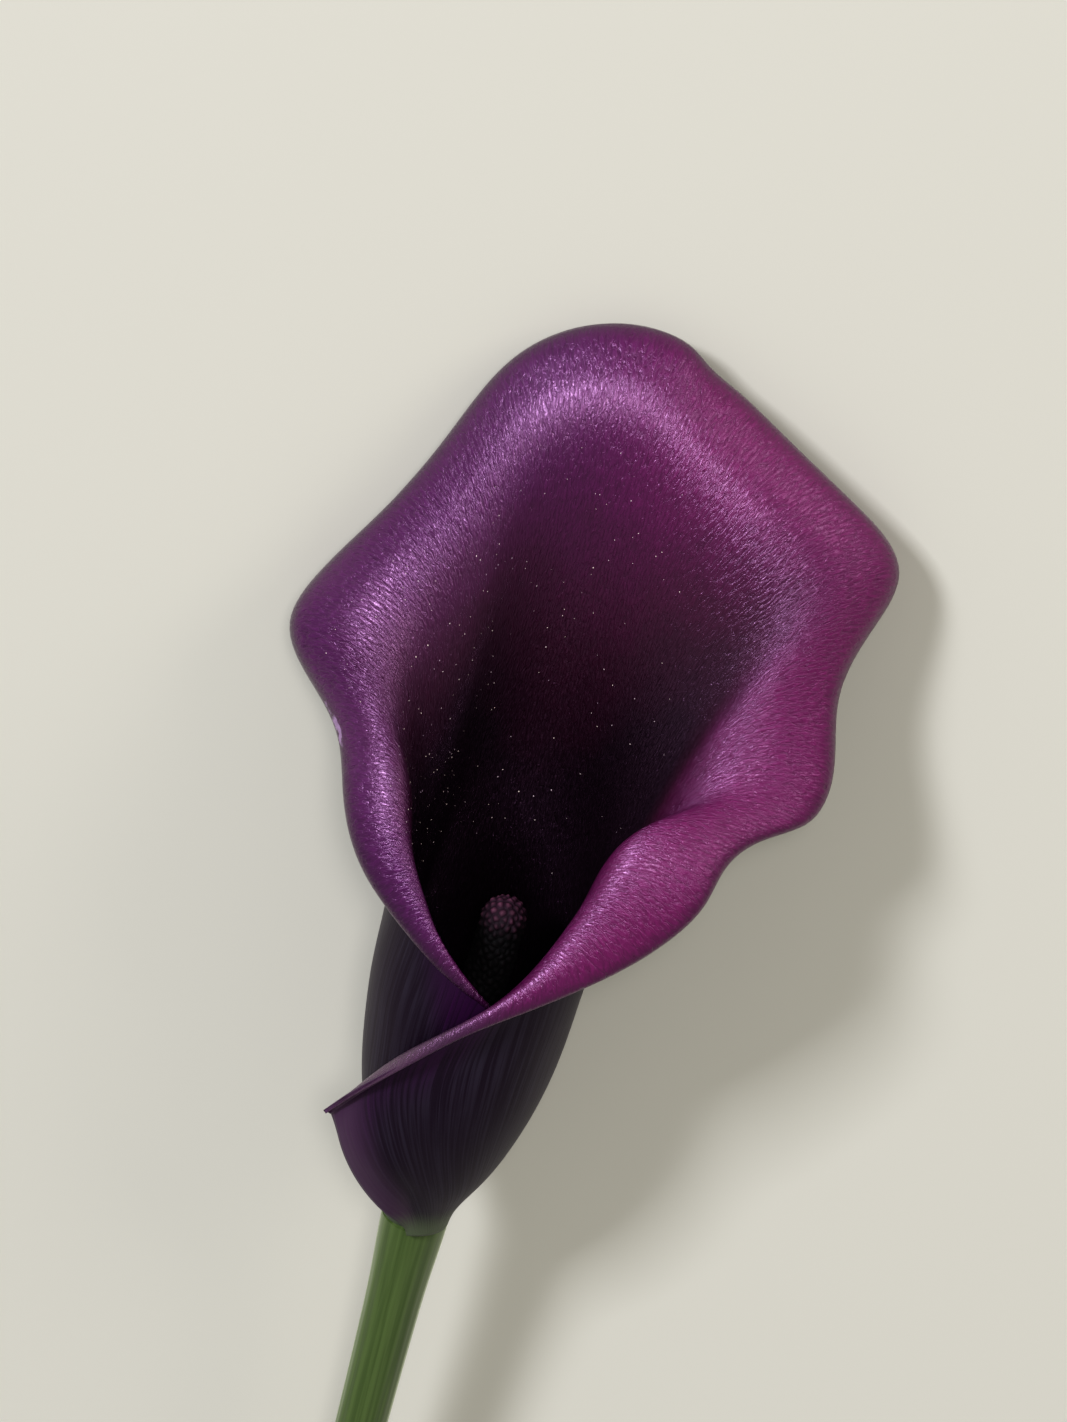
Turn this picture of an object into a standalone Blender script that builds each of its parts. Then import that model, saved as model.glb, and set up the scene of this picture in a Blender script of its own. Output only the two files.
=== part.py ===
"""Calla lily: one cut flower lying face up on a flat surface.

The spathe, spadix and stem are first modelled in the flower's own frame, in millimetres:
+Y runs up the tube from its base to the tip, +X is to the right of someone who faces the mouth,
and +Z points out of the mouth. They are then laid down together, in metres, +Z up.
"""

import math

import bmesh
import bpy
import numpy as np
from mathutils import Matrix, Vector

MM = 0.001

# Driving dimensions, in millimetres and degrees.
SHEET = 0.9  # thickness of the spathe
GAP = 0.3  # between pieces that touch on the real flower
COLUMNS = 64  # facets round the spathe's rim
ROWS = 18  # facets from its base to its rim
FINE_COLUMNS = 4  # finer columns and rows in each facet, on which the sheet is rounded off
FINE_ROWS = 7
ROUNDING = 20  # times that each fine point is averaged with its neighbours
STIFF_EDGE = 0.5  # how far inside the lip's outermost line the rounding starts
PACE = 0.6  # how much a long gap between spline points counts; 1 is its length
LIE_PITCH = 4.0  # how far the head is tipped up from the stem, as it lies
LIE_ROLL = -1.1  # how far it is rolled over

# The rolled tube's outside: height, half width, half depth.
TUBE = (
    (0, 4.2, 4.2),
    (3, 4.8, 4.8),
    (7, 6.7, 6.6),
    (13, 9.1, 9.1),
    (20, 11.1, 11.1),
    (28, 12.3, 12.2),
    (40, 13.1, 13.0),
    (60, 15.2, 14.4),
    (80, 18.7, 16.3),
    (100, 22.2, 18.8),
    (118, 25.2, 21.2),
)
OVERLAP_LIFT = 1.15  # how far the outer margin stands off the tube, and the inner one sinks in
FLAP_LIFT = 1.2  # how much farther the outer flap's free side stands off, low down
BASE_TURN = 0.79  # how much of each angle the base ring keeps
BASE_SHIFT = -6.0
TWIST_HEIGHT = 26.0  # height over which the base's angles ease into the tube's
WALL_STOPS = (0.0, 0.05, 0.12, 0.22, 0.35, 0.54, 0.76, 1.0)  # heights on the tube, as shares of its own

# The mouth is an ellipse, which the lip turns out from.
MOUTH_CENTRE = (1.0, 68.0, -1.4)
MOUTH_HALF = (26.0, 30.0, 1.0)
MOUTH_NORMAL = (0.0, 0.42, 0.91)

# The lip, from the margin tucked inside the overlap, over the tip, to the corner of the outer flap.
# Angle of the tube below it (0 is the back), the lip's outermost point x, y, z, then how far inside that
# point the lip's crest is, how far it rises, how far the margin curls back behind it, and the share of
# the crest's height that the tube keeps its own section.
RIM = (
    (-205, 6.0, 34.5, 10.2, 0.4, 0.1, 0.4, 0.80),
    (-187, 3.2, 38.2, 11.6, 0.6, 0.1, 0.5, 0.80),
    (-172, -0.6, 40.6, 12.3, 1.5, 0.4, 1.2, 0.78),
    (-157, -5.2, 43.2, 11.9, 3.0, 1.1, 2.2, 0.76),
    (-138, -10.9, 47.0, 10.2, 4.8, 2.0, 3.8, 0.74),
    (-118, -16.7, 51.7, 7.5, 6.2, 3.0, 5.0, 0.70),
    (-104, -20.4, 57.0, 3.5, 6.8, 4.2, 6.0, 0.64),
    (-92, -22.6, 61.4, -1.5, 7.4, 5.0, 7.0, 0.58),
    (-82, -26.8, 64.2, -7.5, 8.5, 6.4, 8.0, 0.52),
    (-74, -32.2, 70.2, -12.0, 12, 8.0, 9.0, 0.48),  # left ear
    (-66, -30.3, 76.2, -15.0, 10.5, 7.6, 8.0, 0.48),
    (-56, -25.0, 85.2, -16.5, 9.0, 6.4, 6.5, 0.49),
    (-44, -19.2, 97.2, -18.5, 8.5, 5.8, 5.0, 0.51),
    (-30, -13.9, 108.0, -20.5, 8.5, 5.2, 4.5, 0.54),
    (-14, -6.4, 113.9, -21.5, 8.5, 4.8, 4.0, 0.56),  # tip
    (4, 2.5, 115.5, -21.5, 8.5, 4.6, 3.5, 0.56),
    (13, 6.2, 114.6, -21.0, 8.5, 4.6, 3.6, 0.56),
    (18, 8.3, 113.2, -20.6, 8.4, 4.6, 3.6, 0.55),
    (26, 12.2, 111.2, -20.1, 8.4, 4.8, 4.1, 0.54),
    (36, 17.6, 108.2, -19.5, 8.4, 5.0, 4.5, 0.53),
    (50, 28.8, 101.6, -18.5, 8.8, 5.6, 5.5, 0.51),
    (62, 36.6, 93.8, -18.0, 9.5, 6.6, 7.0, 0.50),  # right ear
    (72, 34.8, 86.8, -14.0, 8.5, 5.6, 7.0, 0.52),
    (82, 33.3, 79.8, -10.0, 8.8, 4.6, 6.0, 0.55),
    (94, 35.0, 70.2, -5.5, 10.5, 3.8, 5.5, 0.59),  # lower right ear
    (101, 34.0, 67.3, -3.0, 11.0, 3.2, 5.0, 0.615),
    (107, 30.3, 65.7, 0.3, 11.5, 2.6, 4.5, 0.64),
    (113, 27.0, 64.4, 3.0, 11.5, 2.3, 4.0, 0.665),
    (120, 25.0, 62.4, 5.8, 11.5, 2.0, 3.6, 0.69),  # notch below it
    (127, 24.0, 59.1, 8.3, 10.8, 1.9, 3.2, 0.71),
    (136, 21.3, 54.6, 10.4, 9.5, 1.7, 2.8, 0.73),
    (152, 13.8, 47.2, 13.0, 6.2, 1.4, 2.0, 0.75),
    (168, 6.5, 42.0, 15.2, 3.4, 1.0, 1.5, 0.78),  # the right margin crosses over the left one
    (184, 0.5, 37.4, 16.2, 2.2, 0.5, 0.9, 0.80),
    (206, -5.5, 30.4, 15.2, 3.2, 0.6, 0.8, 0.84),
    (226, -10.2, 22.9, 11.6, 3.0, 0.5, 0.7, 0.88),
    (246, -13.6, 15.7, 7.2, 0.4, 0.0, 0.2, 0.90),  # corner of the outer flap
)

# The spadix: height, radius, up to where its rounded tip begins.
SPADIX = ((0, 2.0), (8, 2.5), (25, 2.9), (44, 2.9))
SPADIX_LEAN = (0.03, -0.02)  # across and back, for each unit of height
SPADIX_SIDES = 20

# The stem: depth below the spathe, radius.
STEM = ((0, 4.2), (4, 4.0), (9, 3.7), (17, 3.45), (30, 3.25), (70, 3.2), (130, 3.4), (200, 3.7))
STEM_STRAIGHT = 30.0  # the stem keeps to the tube's axis this far down
STEM_BOW = 5.0  # and its cut end is this far to the left of it
STEM_RINGS = 22
STEM_SIDES = 24


def spline(keys, values, at):
    """Values at `at` on the natural cubic spline through (keys, values), for numbers or points."""
    keys = np.asarray(keys, float)
    values = np.asarray(values, float)
    flat = values.reshape(len(keys), -1)
    step = np.diff(keys)
    matrix = np.eye(len(keys))
    bend = np.zeros_like(flat)
    for i in range(1, len(keys) - 1):
        matrix[i, i - 1 : i + 2] = step[i - 1], 2 * (step[i - 1] + step[i]), step[i]
        bend[i] = 6 * ((flat[i + 1] - flat[i]) / step[i] - (flat[i] - flat[i - 1]) / step[i - 1])
    bend = np.linalg.solve(matrix, bend)
    at = np.asarray(at, float)
    i = np.clip(np.searchsorted(keys, at) - 1, 0, len(step) - 1)
    span = step[i][:, None]
    b = ((at - keys[i]) / step[i])[:, None]
    a = 1 - b
    found = a * flat[i] + b * flat[i + 1] + ((a**3 - a) * bend[i] + (b**3 - b) * bend[i + 1]) * span**2 / 6
    return found.reshape(len(at), *values.shape[1:])


def unit(vector):
    """A vector made 1 long."""
    return vector / np.linalg.norm(vector)


def distances(points):
    """How far along a line of points each one is."""
    return np.concatenate([[0], np.cumsum(np.linalg.norm(np.diff(points, axis=0), axis=1))])


def ease(value, low, high):
    """A smooth rise from 0 at low to 1 at high, which may lie below low for a fall."""
    share = np.clip((np.asarray(value, float) - low) / (high - low), 0, 1)
    return share * share * (3 - 2 * share)


def soften(grid):
    """A grid of points rounded off by averaging each with its neighbours."""
    for _ in range(ROUNDING):
        for axis in (0, 1):
            padded = np.concatenate([grid.take([0], axis), grid, grid.take([-1], axis)], axis=axis)
            count = grid.shape[axis]
            grid = (padded.take(range(count), axis) + 2 * grid + padded.take(range(2, count + 2), axis)) / 4
    return grid


def wall(angle, height):
    """Points on the tube's inner face at these angles and heights, spiralling out past the overlap."""
    tube = np.array(TUBE, float)
    overlap = np.clip(angle / 190, -1.04, None)
    flap = FLAP_LIFT * ease(angle, 188, 212) * ease(height, 22, 14)
    lift = OVERLAP_LIFT * overlap**5 + flap - SHEET
    half_width = spline(tube[:, 0], tube[:, 1], height) + lift
    half_depth = spline(tube[:, 0], tube[:, 2], height) + lift
    turn = np.radians(angle)
    return np.stack([half_width * np.sin(turn), height, -half_depth * np.cos(turn)], axis=-1)


def column(angle, fold, lip, rise, roll, keep):
    """The sheet's inner face from base to margin above one angle of the tube, as spline points."""
    normal = unit(np.array(MOUTH_NORMAL))
    spoke = (fold - MOUTH_CENTRE) / np.array(MOUTH_HALF) ** 2 * (1, 1, 0)
    outward = unit(spoke - normal * normal.dot(spoke))
    crest = fold - outward * lip + normal * rise
    margin = fold - unit(normal * 0.95 + outward * 0.3) * roll
    height = np.array(WALL_STOPS) * crest[1] * keep
    base_angle = angle * BASE_TURN + BASE_SHIFT
    settled = np.sin(np.clip(height / min(TWIST_HEIGHT, crest[1]), 0, 1) * math.pi / 2)
    points = wall(base_angle + (angle - base_angle) * settled, height)
    return np.concatenate([points, [crest, fold, margin]])


def spathe_grid():
    """The spathe's inner face as points[column, row], from the tucked margin round to the flap."""
    rim = np.array(RIM, float)
    along = distances(rim[:, 1:4])
    stations = spline(along, rim, np.linspace(0, along[-1], COLUMNS * FINE_COLUMNS + 1))
    rows = ROWS * FINE_ROWS
    grid, run = [], []
    for angle, x, y, z, lip, rise, roll, keep in stations:
        points = column(angle, np.array([x, y, z]), lip, rise, roll, keep)
        pace = np.concatenate([[0], np.cumsum(np.diff(distances(points)) ** PACE)])
        line = spline(pace, points, np.linspace(0, pace[-1], 4 * rows))
        reach = distances(line)
        stops = np.linspace(0, reach[-1], rows + 1)
        grid.append(np.stack([np.interp(stops, reach, axis) for axis in line.T], axis=1))
        run.append(stops)
    grid, run = np.array(grid), np.array(run)
    inside = run[:, -1:] - run - stations[:, 6:7]
    share = (ease(inside, STIFF_EDGE, STIFF_EDGE + 6) * ease(run, 8, 24))[:, :, None]
    grid = grid * (1 - share) + soften(grid) * share
    return grid[::FINE_COLUMNS, ::FINE_ROWS]


def add_object(name, mesh, colour, roughness):
    """Links a mesh as a smooth-shaded object with its own material."""
    material = bpy.data.materials.new(name)
    material.use_nodes = True
    shader = material.node_tree.nodes["Principled BSDF"]
    shader.inputs["Base Color"].default_value = (*colour, 1)
    shader.inputs["Roughness"].default_value = roughness
    mesh.materials.append(material)
    mesh.shade_smooth()
    made = bpy.data.objects.new(name, mesh)
    bpy.context.scene.collection.objects.link(made)
    return made


def make_spathe():
    """The rolled bract: one thin sheet, wound round the tube and turned out at the lip."""
    grid = spathe_grid()
    columns, rows = grid.shape[:2]
    faces = [
        (c * rows + r, (c + 1) * rows + r, (c + 1) * rows + r + 1, c * rows + r + 1)
        for c in range(columns - 1)
        for r in range(rows - 1)
    ]
    mesh = bpy.data.meshes.new("spathe")
    mesh.from_pydata((grid.reshape(-1, 3) * MM).tolist(), [], faces)
    spathe = add_object("spathe", mesh, (0.12, 0.02, 0.13), 0.45)
    sheet = spathe.modifiers.new("sheet", "SOLIDIFY")
    sheet.thickness = SHEET * MM
    sheet.offset = -1
    return spathe


def add_turned(name, profile, sides, colour, roughness):
    """A closed round piece with one ring of points for each (centre, radius), in planes across +Y."""
    bm = bmesh.new()
    rings = []
    for centre, radius in profile:
        turns = [2 * math.pi * i / sides for i in range(sides)]
        spokes = [Vector((math.cos(turn), 0, math.sin(turn))) * radius for turn in turns]
        rings.append([bm.verts.new((Vector(centre) + spoke) * MM) for spoke in spokes])
    for lower, upper in zip(rings, rings[1:]):
        for i in range(sides):
            bm.faces.new((lower[i - 1], lower[i], upper[i], upper[i - 1]))
    bm.faces.new(rings[0])
    bm.faces.new(rings[-1])
    bmesh.ops.recalc_face_normals(bm, faces=bm.faces)
    mesh = bpy.data.meshes.new(name)
    bm.to_mesh(mesh)
    bm.free()
    made = add_object(name, mesh, colour, roughness)
    mesh.set_sharp_from_angle(angle=math.radians(50))
    return made


def make_spadix():
    """The spike of florets, a finger with a rounded tip that leans a little."""
    table = np.array(SPADIX, float)
    top, tip_radius = table[-1]
    heights = np.linspace(0, top, 8)
    profile = list(zip(heights, spline(table[:, 0], table[:, 1], heights)))
    for step in range(1, 7):
        turn = math.radians(14 * step)
        profile.append((top + tip_radius * math.sin(turn), tip_radius * math.cos(turn)))
    across, back = SPADIX_LEAN
    rings = [((across * y, y, back * y), radius) for y, radius in profile]
    return add_turned("spadix", rings, SPADIX_SIDES, (0.05, 0.01, 0.03), 0.6)


def make_stem():
    """The flower stalk: a shoulder under the spathe, then nearly even down to a plain cut."""
    table = np.array(STEM, float)
    length = table[-1, 0]
    depths = length * np.linspace(0, 1, STEM_RINGS) ** 1.6
    bow = STEM_BOW * (np.maximum(depths - STEM_STRAIGHT, 0) / (length - STEM_STRAIGHT)) ** 2
    radii = spline(table[:, 0], table[:, 1], depths)
    rings = [((-b, -GAP - depth, 0), radius) for b, depth, radius in zip(bow, depths, radii)]
    return add_turned("stem", rings, STEM_SIDES, (0.05, 0.1, 0.02), 0.5)


def lie_down(pieces):
    """Tips the pieces together onto their lowest points, and centres them over the origin."""
    tilt = Matrix.Rotation(math.radians(LIE_ROLL), 4, "Y") @ Matrix.Rotation(math.radians(LIE_PITCH), 4, "X")
    bpy.context.view_layer.update()
    corners = []
    for piece in pieces:
        shape = piece.evaluated_get(bpy.context.evaluated_depsgraph_get()).to_mesh()
        corners += [tilt @ vertex.co for vertex in shape.vertices]
    corners = np.array(corners)
    low, high = corners.min(axis=0), corners.max(axis=0)
    shift = Matrix.Translation((-(low[0] + high[0]) / 2, -(low[1] + high[1]) / 2, -low[2]))
    for piece in pieces:
        piece.matrix_world = shift @ tilt


def main():
    """Builds the flower."""
    for old in list(bpy.data.objects):
        bpy.data.objects.remove(old)
    lie_down([make_spathe(), make_spadix(), make_stem()])


main()
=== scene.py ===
"""A cut calla lily lying face up on a pale floor, in soft studio light.

The spathe, the spadix and the stalk are built at full detail in the flower's own frame, in
millimetres: +Y runs up the tube from its base to the tip, +X is to the right of someone who
faces the mouth, and +Z points out of the mouth. Each is then laid down where the frame's
nodes lie, in metres, and stands for its node.
"""

from __future__ import annotations

import logging
import math
from dataclasses import dataclass, field
from enum import Enum

import bpy
import numpy as np
from bpy.types import Material, Node, NodeSocket, NodeTree, Object
from mathutils import Matrix, Vector
from mathutils.kdtree import KDTree

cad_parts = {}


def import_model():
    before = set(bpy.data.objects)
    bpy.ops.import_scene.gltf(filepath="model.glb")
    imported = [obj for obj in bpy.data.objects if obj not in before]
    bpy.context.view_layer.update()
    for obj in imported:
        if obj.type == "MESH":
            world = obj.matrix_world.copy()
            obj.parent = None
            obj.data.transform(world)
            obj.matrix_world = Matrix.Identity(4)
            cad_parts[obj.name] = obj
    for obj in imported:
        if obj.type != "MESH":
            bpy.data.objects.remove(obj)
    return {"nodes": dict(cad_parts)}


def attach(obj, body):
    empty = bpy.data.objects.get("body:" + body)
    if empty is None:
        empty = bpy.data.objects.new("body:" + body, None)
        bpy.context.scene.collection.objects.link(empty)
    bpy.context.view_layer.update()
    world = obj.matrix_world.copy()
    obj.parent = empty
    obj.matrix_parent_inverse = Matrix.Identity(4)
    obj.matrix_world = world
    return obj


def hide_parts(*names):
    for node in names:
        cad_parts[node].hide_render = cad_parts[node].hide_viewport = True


LOG = logging.getLogger("calla_lily")

MM = 0.001
ROOT = "root"

LIE_PITCH = 4.0  # degrees that the head is tipped up from the stalk, as the flower lies
LIE_ROLL = -1.1  # degrees that it is rolled over
LEVEL = 0.01  # millimetres that points of one flat face may differ by


# ---- small tools


def srgb(code: str) -> tuple[float, float, float, float]:
    """Turns an sRGB hex colour into linear red, green, blue and alpha.

    Args:
        code: A colour such as "#7b3a8a".

    Returns:
        Four numbers from 0 to 1.
    """
    levels = [int(code[i : i + 2], 16) / 255 for i in (1, 3, 5)]
    linear = [c / 12.92 if c <= 0.04045 else ((c + 0.055) / 1.055) ** 2.4 for c in levels]
    return (*linear, 1.0)


def unit(vector: np.ndarray) -> np.ndarray:
    """Returns the vector made 1 long."""
    return vector / np.linalg.norm(vector)


def ease(value: np.ndarray, low: float, high: float) -> np.ndarray:
    """Rises smoothly from 0 at low to 1 at high.

    Args:
        value: Numbers to look up.
        low: Where the rise starts.
        high: Where it ends, which may lie below low for a fall.

    Returns:
        Numbers from 0 to 1, of value's shape.
    """
    share = np.clip((np.asarray(value, float) - low) / (high - low), 0, 1)
    return share * share * (3 - 2 * share)


def distances(points: np.ndarray) -> np.ndarray:
    """Returns how far along a line of points each one is."""
    return np.concatenate([[0], np.cumsum(np.linalg.norm(np.diff(points, axis=0), axis=1))])


def spline(keys: np.ndarray, values: np.ndarray, at: np.ndarray) -> np.ndarray:
    """Reads a natural cubic spline.

    Args:
        keys: Rising positions of the known values.
        values: A number or a point for each key.
        at: Positions to read.

    Returns:
        A number or a point for each position.
    """
    keys = np.asarray(keys, float)
    values = np.asarray(values, float)
    flat = values.reshape(len(keys), -1)
    step = np.diff(keys)
    matrix = np.eye(len(keys))
    bend = np.zeros_like(flat)
    for i in range(1, len(keys) - 1):
        matrix[i, i - 1 : i + 2] = step[i - 1], 2 * (step[i - 1] + step[i]), step[i]
        bend[i] = 6 * ((flat[i + 1] - flat[i]) / step[i] - (flat[i] - flat[i - 1]) / step[i - 1])
    bend = np.linalg.solve(matrix, bend)
    at = np.asarray(at, float)
    i = np.clip(np.searchsorted(keys, at) - 1, 0, len(step) - 1)
    span = step[i][:, None]
    b = ((at - keys[i]) / step[i])[:, None]
    a = 1 - b
    curve = (a**3 - a) * bend[i] + (b**3 - b) * bend[i + 1]
    found = a * flat[i] + b * flat[i + 1] + curve * span**2 / 6
    return found.reshape(len(at), *values.shape[1:])


def soften(points: np.ndarray, passes: int) -> np.ndarray:
    """Rounds a grid of points off by averaging each with its neighbours.

    Args:
        points: The grid[column, row].
        passes: How often each point is averaged.

    Returns:
        The rounded grid.
    """
    soft = points
    for _ in range(passes):
        for axis in (0, 1):
            padded = np.concatenate(
                [soft.take([0], axis), soft, soft.take([-1], axis)], axis=axis
            )
            count = soft.shape[axis]
            before, after = padded.take(range(count), axis), padded.take(range(2, count + 2), axis)
            soft = (before + 2 * soft + after) / 4
    return soft


def add_node(
    tree: NodeTree,
    kind: str | Node,
    links: dict | None = None,
    values: dict | None = None,
    **settings: object,
) -> Node:
    """Adds one shader node, or sets one that is there.

    Args:
        tree: The node tree.
        kind: The node's type name, or the node that is there.
        links: Output sockets to join, by the name or number of this node's input.
        values: Numbers, colours or vectors to set, by the name or number of the input.
        **settings: Properties of the node itself.

    Returns:
        The node.
    """
    node = tree.nodes.new(kind) if isinstance(kind, str) else kind
    for name, value in settings.items():
        setattr(node, name, value)
    for key, value in (values or {}).items():
        node.inputs[key].default_value = value
    for key, socket in (links or {}).items():
        tree.links.new(socket, node.inputs[key])
    return node


def set_ramp(node: Node, stops: list[tuple[float, str]]) -> None:
    """Gives a colour ramp its stops, each a position and an sRGB hex colour."""
    elements = node.color_ramp.elements
    while len(elements) < len(stops):
        elements.new(1.0)
    for element, (position, code) in zip(elements, stops):
        element.position = position
        element.color = srgb(code)


def new_material(name: str) -> tuple[Material, NodeTree, Node]:
    """Makes an empty node material.

    Args:
        name: What the finish is and how it was made.

    Returns:
        The material, its node tree and its shader node.
    """
    material = bpy.data.materials.new(name)
    material.use_nodes = True
    return material, material.node_tree, material.node_tree.nodes["Principled BSDF"]


# ---- finishes


class Coordinate(Enum):
    """The surface coordinates that a piece carries, as UV maps in millimetres."""

    CELLS = "cells"  # along the rim, and in from the margin
    VEINS = "veins"  # round the tube, and up from the base


def add_streaks(
    tree: NodeTree,
    coordinate: Coordinate,
    width: float,
    length: float,
    roughness: float,
    distortion: float,
) -> NodeSocket:
    """Adds a noise that is drawn out into streaks.

    Args:
        tree: The material's node tree.
        coordinate: The surface coordinate, whose second number runs along the streaks.
        width: The width of a streak.
        length: Its length.
        roughness: How strong the noise's finer detail is.
        distortion: How far a streak wanders.

    Returns:
        The noise's output.
    """
    spot = add_node(tree, "ShaderNodeUVMap", uv_map=coordinate.value).outputs["UV"]
    scale = {"Scale": (1 / width, 1 / length, 1)}
    drawn = add_node(tree, "ShaderNodeMapping", {"Vector": spot}, scale).outputs["Vector"]
    grain = {"Scale": 1.0, "Detail": 3.0, "Roughness": roughness, "Distortion": distortion}
    noise = add_node(tree, "ShaderNodeTexNoise", {"Vector": drawn}, grain, noise_dimensions="2D")
    return noise.outputs["Fac"]


def add_clouds(
    tree: NodeTree, scale: float, detail: float = 2.0, roughness: float = 0.5
) -> NodeSocket:
    """Adds a noise that fills space, with scale patches to a metre, and returns its output."""
    place = add_node(tree, "ShaderNodeTexCoord").outputs["Object"]
    grain = {"Scale": scale, "Detail": detail, "Roughness": roughness}
    return add_node(tree, "ShaderNodeTexNoise", {"Vector": place}, grain).outputs["Fac"]


@dataclass(frozen=True)
class InnerEpidermis:
    """Living petal skin inside the trumpet: domed cells in long rows, deep in violet sap.

    The rows break the satin shine into fine bright streaks that run out over the lip, and
    the colour falls from violet and magenta on the lip to near black in the throat: dark
    pigment, deepened with painted shade of the deep tube.
    """

    violet: str = "#3c063c"  # the lip's left side: its own hue, cooled by painted light from the left
    magenta: str = "#5a0642"  # and its right side: its own hue, warmed and brightened by painted fill light from the right
    # wall, throat and deep: dark pigment, deepened with painted shade of the deep tube
    wall: str = "#38062c"
    throat: str = "#260214"
    deep: str = "#040002"
    # line: painted shade along the fold, and a faint dark edge along the flap's margin
    line: str = "#1c051e"
    worn: str = "#8d7094"
    glow: str = "#f2b4ec"  # the sap tints the light that the cells throw back
    flap: str = "#3a2238"
    side_light_turnover: float = 14.0  # violet turns to magenta from this far left to this far right: partly the lip's own hue, partly painted light
    cell_width: float = 0.46  # real rows are 0.15 wide: three times that shows
    cell_length: float = 1.25
    cell_height: float = 0.16
    mottle: float = 0.16  # how far cloudy patches shift the fall of colour
    ior: float = 1.85
    roughness: float = 0.3
    wax: float = 0.1
    wax_roughness: float = 0.26

    def make(self) -> Material:
        """Builds the material and returns it."""
        material, tree, shader = new_material("spathe_inner_living_petal_skin")
        rows = add_streaks(tree, Coordinate.CELLS, self.cell_width, self.cell_length, 0.65, 0.6)
        place = add_node(tree, "ShaderNodeTexCoord").outputs["Object"]
        marks = {
            name: add_node(tree, "ShaderNodeAttribute", attribute_name=name).outputs["Fac"]
            for name in ("depth", "flap", "rim", "wear")
        }

        # Left to right the lip turns from violet to magenta: partly its own hue, partly painted
        # light, cool from the left and warm from the right.
        across = add_node(tree, "ShaderNodeSeparateXYZ", {0: place}).outputs["X"]
        side = add_node(
            tree, "ShaderNodeMapRange", {"Value": across},
            {"From Min": -self.side_light_turnover * MM, "From Max": self.side_light_turnover * MM},
            interpolation_type="SMOOTHSTEP",
        ).outputs["Result"]
        lip = add_node(
            tree, "ShaderNodeMix", {0: side}, {6: srgb(self.violet), 7: srgb(self.magenta)},
            data_type="RGBA",
        ).outputs[2]

        wander = add_node(
            tree, "ShaderNodeMath", {0: add_clouds(tree, 260.0, 4.0, 0.6), 2: marks["depth"]},
            {1: self.mottle}, operation="MULTIPLY_ADD",
        ).outputs[0]
        sunk = add_node(
            tree, "ShaderNodeMath", {0: wander}, {1: -self.mottle / 2},
            operation="ADD", use_clamp=True,
        ).outputs[0]
        on_lip = add_node(tree, "ShaderNodeValToRGB", {"Fac": sunk})
        set_ramp(on_lip, [(0, "#ffffff"), (0.15, "#ffffff"), (0.36, "#909090"), (0.62, "#000000")])
        # Inside the lip the colour falls through wall and throat to near black: dark pigment with
        # painted shade of the tube.
        wall = add_node(tree, "ShaderNodeValToRGB", {"Fac": sunk})
        set_ramp(wall, [(0.0, self.wall), (0.24, self.wall), (0.5, self.throat), (0.9, self.deep)])
        colour = add_node(
            tree, "ShaderNodeMix",
            {0: on_lip.outputs["Color"], 6: wall.outputs["Color"], 7: lip}, data_type="RGBA",
        ).outputs[2]
        # The rim mark paints shade along the fold, with a faint dark edge along the flap's margin.
        for mark, over in (("flap", self.flap), ("rim", self.line)):
            colour = add_node(
                tree, "ShaderNodeMix", {0: marks[mark], 6: colour}, {7: srgb(over)},
                data_type="RGBA",
            ).outputs[2]
        streak = add_node(
            tree, "ShaderNodeMapRange", {"Value": rows},
            {"From Min": 0.3, "From Max": 0.7, "To Min": 0.72, "To Max": 1.25},
        ).outputs["Result"]
        streaked = add_node(
            tree, "ShaderNodeVectorMath", {0: colour, "Scale": streak}, operation="SCALE"
        ).outputs[0]

        dried = add_node(
            tree, "ShaderNodeMath", {0: add_clouds(tree, 900.0, 3.0), 1: marks["wear"]},
            operation="MULTIPLY",
        ).outputs[0]
        dried = add_node(
            tree, "ShaderNodeMapRange", {"Value": dried}, {"From Min": 0.36, "From Max": 0.5}
        ).outputs["Result"]
        worn = add_node(
            tree, "ShaderNodeMix", {0: dried, 6: streaked}, {7: srgb(self.worn)}, data_type="RGBA"
        ).outputs[2]

        shine = add_node(
            tree, "ShaderNodeMapRange", {"Value": rows},
            {"To Min": self.roughness - 0.08, "To Max": self.roughness + 0.12},
        ).outputs["Result"]
        bump = add_node(
            tree, "ShaderNodeBump", {"Height": rows},
            {"Strength": 1.0, "Distance": self.cell_height * MM},
        ).outputs["Normal"]
        add_node(
            tree,
            shader,
            {"Base Color": worn, "Roughness": shine, "Normal": bump, "Coat Normal": bump},
            {
                "IOR": self.ior,
                "Specular Tint": srgb(self.glow),
                "Coat Weight": self.wax,
                "Coat Roughness": self.wax_roughness,
            },
        )
        return material


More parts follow.
